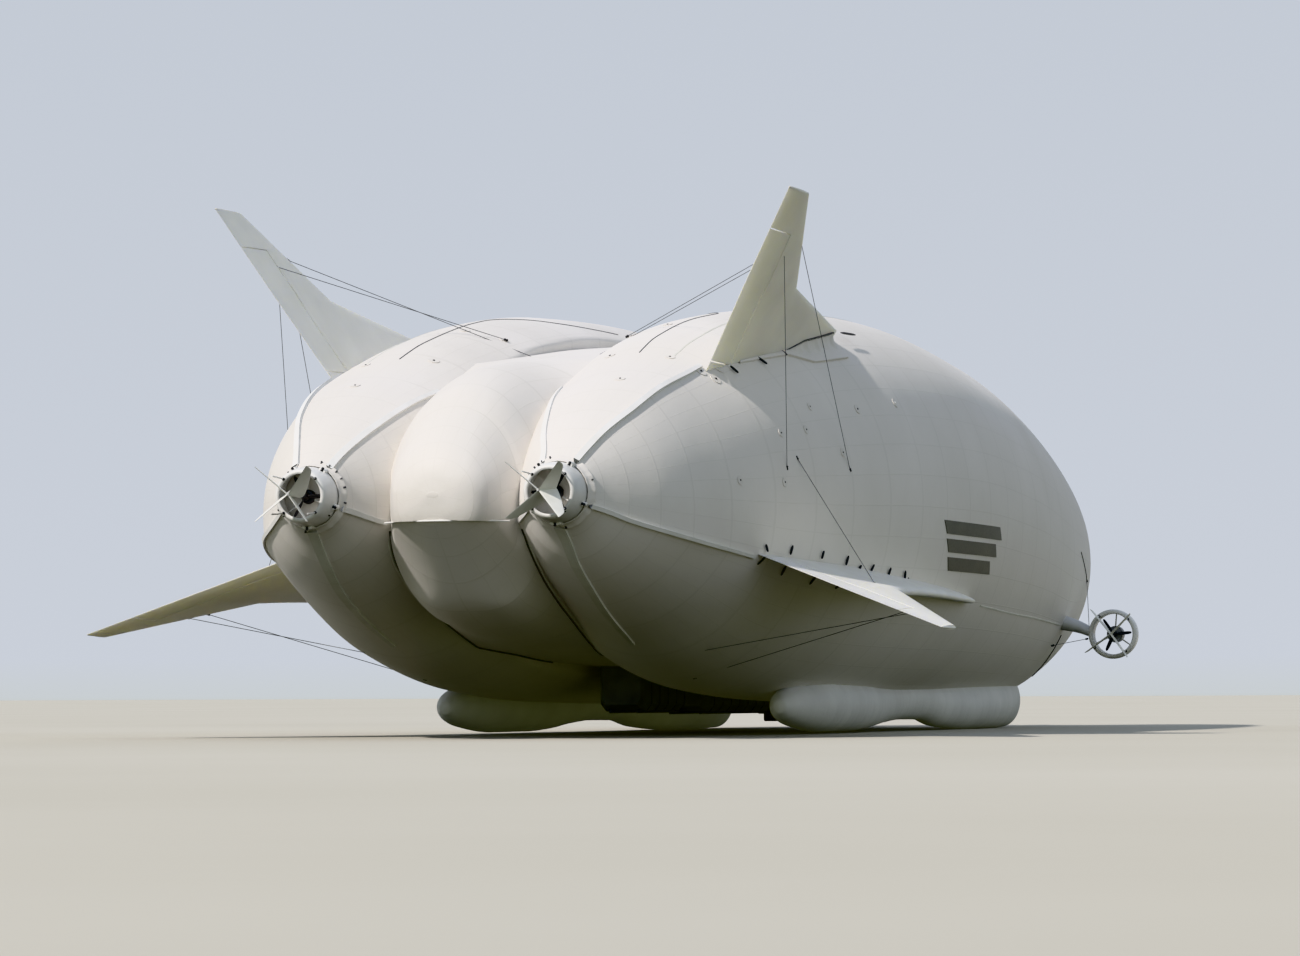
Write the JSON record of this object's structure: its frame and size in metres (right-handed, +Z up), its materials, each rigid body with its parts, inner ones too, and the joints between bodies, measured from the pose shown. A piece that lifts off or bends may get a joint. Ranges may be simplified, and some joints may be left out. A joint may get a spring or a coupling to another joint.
{
  "type": "three-lobed hybrid airship, 1:10 scale model",
  "caption": "Helium airship with a three-lobed fabric hull, tail fins with control surfaces, ducted propellers, a flight deck under the hull and long air-cushion skids.",
  "frame": {"origin": "on the ground under the middle of the hull, half-way between the rear vanes and the nose", "axes": "+X to starboard, +Y towards the nose, +Z up"},
  "size_m": [4.3708, 9.37, 2.6102],
  "materials": {
    "envelope": "satin coated laminate",
    "fin": "satin coated laminate",
    "duct": "semi-gloss white",
    "blade": "satin black",
    "engine": "satin dark grey",
    "skid": "matt grey",
    "cabin": "semi-gloss off-white",
    "glass": "tinted",
    "metal": "brushed"
  },
  "bodies": {
    "airframe": {"hull_lobe_starboard": "envelope", "hull_lobe_port": "envelope", "hull_centre_lobe": "envelope", "upper_fin_starboard": "fin", "upper_fin_port": "fin", "lower_fin_starboard": "fin", "lower_fin_port": "fin", "rear_duct_starboard": "duct", "rear_duct_port": "duct", "forward_duct_starboard": "duct", "forward_duct_port": "duct", "rear_engine_starboard": "engine", "rear_engine_port": "engine", "forward_engine_starboard": "engine", "forward_engine_port": "engine", "rear_vanes_starboard": "duct", "rear_vanes_port": "duct", "forward_vanes_starboard": "duct", "forward_vanes_port": "duct", "forward_pylon_starboard": "skid", "forward_pylon_port": "skid", "skid_starboard": "skid", "skid_port": "skid", "flight_deck": "cabin", "flight_deck_glazing": "glass", "payload_module": "skid", "fuel_module": "skid", "nose_mooring_cone": "metal"},
    "upper_ruddervator_starboard": {"upper_control_surface_starboard": "fin"},
    "upper_ruddervator_port": {"upper_control_surface_port": "fin"},
    "lower_ruddervator_starboard": {"lower_control_surface_starboard": "fin"},
    "lower_ruddervator_port": {"lower_control_surface_port": "fin"},
    "rear_rotor_starboard": {"rear_propeller_starboard": "blade"},
    "rear_rotor_port": {"rear_propeller_port": "blade"},
    "forward_rotor_starboard": {"forward_propeller_starboard": "blade"},
    "forward_rotor_port": {"forward_propeller_port": "blade"},
    "door": {"flight_deck_door": "cabin"}
  },
  "joints": [
    {"name": "upper_starboard_hinge", "type": "hinge", "parent": "airframe", "child": "upper_ruddervator_starboard", "pos_m": [0.96, -2.875, 1.755], "axis": [0.4962, -0.2694, 0.8254], "range_deg": [-25, 25]},
    {"name": "upper_port_hinge", "type": "hinge", "parent": "airframe", "child": "upper_ruddervator_port", "pos_m": [-0.96, -2.875, 1.755], "axis": [-0.4962, -0.2694, 0.8254], "range_deg": [-25, 25]},
    {"name": "lower_starboard_hinge", "type": "hinge", "parent": "airframe", "child": "lower_ruddervator_starboard", "pos_m": [1.02, -2.83, 0.953], "axis": [0.9082, -0.2425, -0.3411], "range_deg": [-25, 25]},
    {"name": "lower_port_hinge", "type": "hinge", "parent": "airframe", "child": "lower_ruddervator_port", "pos_m": [-1.02, -2.83, 0.953], "axis": [-0.9082, -0.2425, -0.3411], "range_deg": [-25, 25]},
    {"name": "rear_starboard_spin", "type": "hinge", "parent": "airframe", "child": "rear_rotor_starboard", "pos_m": [0.612, -4.38, 1.136], "axis": [0, 1, 0], "continuous": true},
    {"name": "rear_port_spin", "type": "hinge", "parent": "airframe", "child": "rear_rotor_port", "pos_m": [-0.612, -4.38, 1.136], "axis": [0, 1, 0], "continuous": true},
    {"name": "forward_starboard_spin", "type": "hinge", "parent": "airframe", "child": "forward_rotor_starboard", "pos_m": [1.612, 2.985, 0.558], "axis": [0, 1, 0], "continuous": true},
    {"name": "forward_port_spin", "type": "hinge", "parent": "airframe", "child": "forward_rotor_port", "pos_m": [-1.612, 2.985, 0.558], "axis": [0, 1, 0], "continuous": true},
    {"name": "door_hinge", "type": "hinge", "parent": "airframe", "child": "door", "pos_m": [-0.157, 1.507, 0.185], "axis": [0, 0, 1], "range_deg": [-100, 0]}
  ]
}
